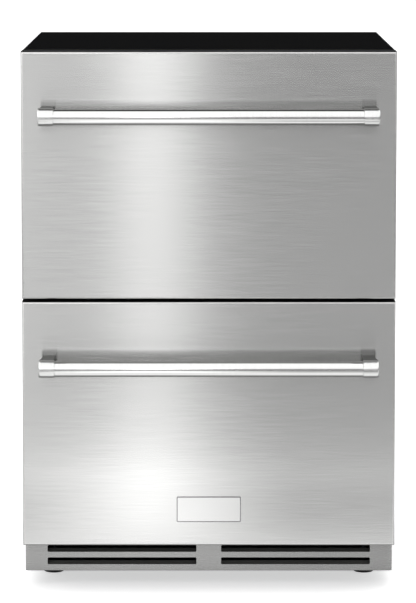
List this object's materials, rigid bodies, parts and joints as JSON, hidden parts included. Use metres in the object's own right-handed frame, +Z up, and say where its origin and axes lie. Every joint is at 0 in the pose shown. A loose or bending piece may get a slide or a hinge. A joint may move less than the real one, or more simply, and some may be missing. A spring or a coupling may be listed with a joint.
{
  "type": "undercounter drawer refrigerator",
  "caption": "Undercounter refrigerator: black insulated cabinet, stainless drawer fronts with bar handles, bins on extension runners, slotted toe panel and fan cooling.",
  "frame": {"origin": "on the floor, under the centre of the overall box", "axes": "+Z up, -Y towards the user in front of the drawers, +X to the user's right"},
  "size_m": [0.595, 0.666, 0.876],
  "materials": {
    "black_cabinet_paint": "satin",
    "brushed_stainless": "satin",
    "polished_stainless": "polished",
    "galvanised_steel": "satin",
    "runner_steel": "satin",
    "copper_tube": "satin",
    "aluminium_fins": "satin",
    "white_liner": "satin",
    "dark_plastic": "satin",
    "bin_plastic": "satin",
    "button_plastic": "satin",
    "smoked_window": "gloss",
    "light_diffuser": "satin",
    "black_rubber": "matte",
    "foot_plastic": "satin",
    "insulation_foam": "matte"
  },
  "bodies": {
    "cabinet": {"cabinet_wrapper": "black_cabinet_paint", "cabinet_foam": "insulation_foam", "liner": "white_liner", "face_frame": "black_cabinet_paint", "mullion": "black_cabinet_paint", "rear_panel": "galvanised_steel", "base_pan": "galvanised_steel", "machine_deck": "galvanised_steel", "toe_grille": "brushed_stainless", "machine_cover": "black_cabinet_paint", "cord_gland": "black_rubber", "compressor": "black_cabinet_paint", "condenser_coil": "copper_tube", "condenser_fan_shroud": "galvanised_steel", "condenser_fan_motor": "galvanised_steel", "drip_tray": "dark_plastic", "evaporator_housing": "white_liner", "evaporator_coil": "aluminium_fins", "evaporator_fan_motor": "galvanised_steel", "control_housing": "dark_plastic", "display_window": "smoked_window", "light_lens": "light_diffuser", "upper_left_cabinet_runner": "runner_steel", "upper_right_cabinet_runner": "runner_steel", "lower_left_cabinet_runner": "runner_steel", "lower_right_cabinet_runner": "runner_steel"},
    "upper_drawer": {"upper_front_skin": "brushed_stainless", "upper_front_inner_panel": "dark_plastic", "upper_front_foam": "insulation_foam", "upper_gasket": "black_rubber", "upper_handle_bar": "polished_stainless", "upper_handle_post_left": "polished_stainless", "upper_handle_post_right": "polished_stainless", "upper_bin": "bin_plastic", "upper_left_drawer_runner": "runner_steel", "upper_right_drawer_runner": "runner_steel"},
    "lower_drawer": {"lower_front_skin": "brushed_stainless", "lower_front_inner_panel": "dark_plastic", "lower_front_foam": "insulation_foam", "lower_gasket": "black_rubber", "lower_handle_bar": "polished_stainless", "lower_handle_post_left": "polished_stainless", "lower_handle_post_right": "polished_stainless", "lower_bin": "bin_plastic", "lower_left_drawer_runner": "runner_steel", "lower_right_drawer_runner": "runner_steel", "badge_plate": "brushed_stainless"},
    "upper_left_middle_runner": {"upper_left_middle_runner": "runner_steel"},
    "upper_right_middle_runner": {"upper_right_middle_runner": "runner_steel"},
    "lower_left_middle_runner": {"lower_left_middle_runner": "runner_steel"},
    "lower_right_middle_runner": {"lower_right_middle_runner": "runner_steel"},
    "condenser_fan": {"condenser_fan_blade": "dark_plastic"},
    "evaporator_fan": {"evaporator_fan_blade": "dark_plastic"},
    "power_button": {"power_button": "button_plastic"},
    "warmer_button": {"warmer_button": "button_plastic"},
    "colder_button": {"colder_button": "button_plastic"},
    "front_left_foot": {"front_left_foot": "foot_plastic"},
    "front_right_foot": {"front_right_foot": "foot_plastic"},
    "rear_left_foot": {"rear_left_foot": "foot_plastic"},
    "rear_right_foot": {"rear_right_foot": "foot_plastic"}
  },
  "joints": [
    {"name": "upper_drawer_slide", "type": "slide", "parent": "cabinet", "child": "upper_drawer", "axis": [0, -1, 0], "range_m": [0, 0.4]},
    {"name": "lower_drawer_slide", "type": "slide", "parent": "cabinet", "child": "lower_drawer", "axis": [0, -1, 0], "range_m": [0, 0.4]},
    {"name": "upper_left_middle_slide", "type": "slide", "parent": "cabinet", "child": "upper_left_middle_runner", "axis": [0, -1, 0], "range_m": [0, 0.2]},
    {"name": "upper_right_middle_slide", "type": "slide", "parent": "cabinet", "child": "upper_right_middle_runner", "axis": [0, -1, 0], "range_m": [0, 0.2]},
    {"name": "lower_left_middle_slide", "type": "slide", "parent": "cabinet", "child": "lower_left_middle_runner", "axis": [0, -1, 0], "range_m": [0, 0.2]},
    {"name": "lower_right_middle_slide", "type": "slide", "parent": "cabinet", "child": "lower_right_middle_runner", "axis": [0, -1, 0], "range_m": [0, 0.2]},
    {"name": "condenser_fan_spin", "type": "hinge", "parent": "cabinet", "child": "condenser_fan", "pos_m": [0.064, 0.2428, 0.12065], "axis": [1, 0, 0], "continuous": true},
    {"name": "evaporator_fan_spin", "type": "hinge", "parent": "cabinet", "child": "evaporator_fan", "pos_m": [0, 0.1233, 0.3921], "axis": [0, -1, 0], "continuous": true},
    {"name": "power_press", "type": "slide", "parent": "cabinet", "child": "power_button", "axis": [0, 1, 0], "range_m": [0, 0.001], "stiffness_N_per_m": 800},
    {"name": "warmer_press", "type": "slide", "parent": "cabinet", "child": "warmer_button", "axis": [0, 1, 0], "range_m": [0, 0.001], "stiffness_N_per_m": 800},
    {"name": "colder_press", "type": "slide", "parent": "cabinet", "child": "colder_button", "axis": [0, 1, 0], "range_m": [0, 0.001], "stiffness_N_per_m": 800},
    {"name": "front_left_foot_screw", "type": "slide", "parent": "cabinet", "child": "front_left_foot", "axis": [0, 0, -1], "range_m": [0, 0.02]},
    {"name": "front_right_foot_screw", "type": "slide", "parent": "cabinet", "child": "front_right_foot", "axis": [0, 0, -1], "range_m": [0, 0.02]},
    {"name": "rear_left_foot_screw", "type": "slide", "parent": "cabinet", "child": "rear_left_foot", "axis": [0, 0, -1], "range_m": [0, 0.02]},
    {"name": "rear_right_foot_screw", "type": "slide", "parent": "cabinet", "child": "rear_right_foot", "axis": [0, 0, -1], "range_m": [0, 0.02]}
  ],
  "couplings": [
    {"joint": "upper_left_middle_slide", "follows": "upper_drawer_slide", "ratio": 0.5},
    {"joint": "upper_right_middle_slide", "follows": "upper_drawer_slide", "ratio": 0.5},
    {"joint": "lower_left_middle_slide", "follows": "lower_drawer_slide", "ratio": 0.5},
    {"joint": "lower_right_middle_slide", "follows": "lower_drawer_slide", "ratio": 0.5}
  ]
}
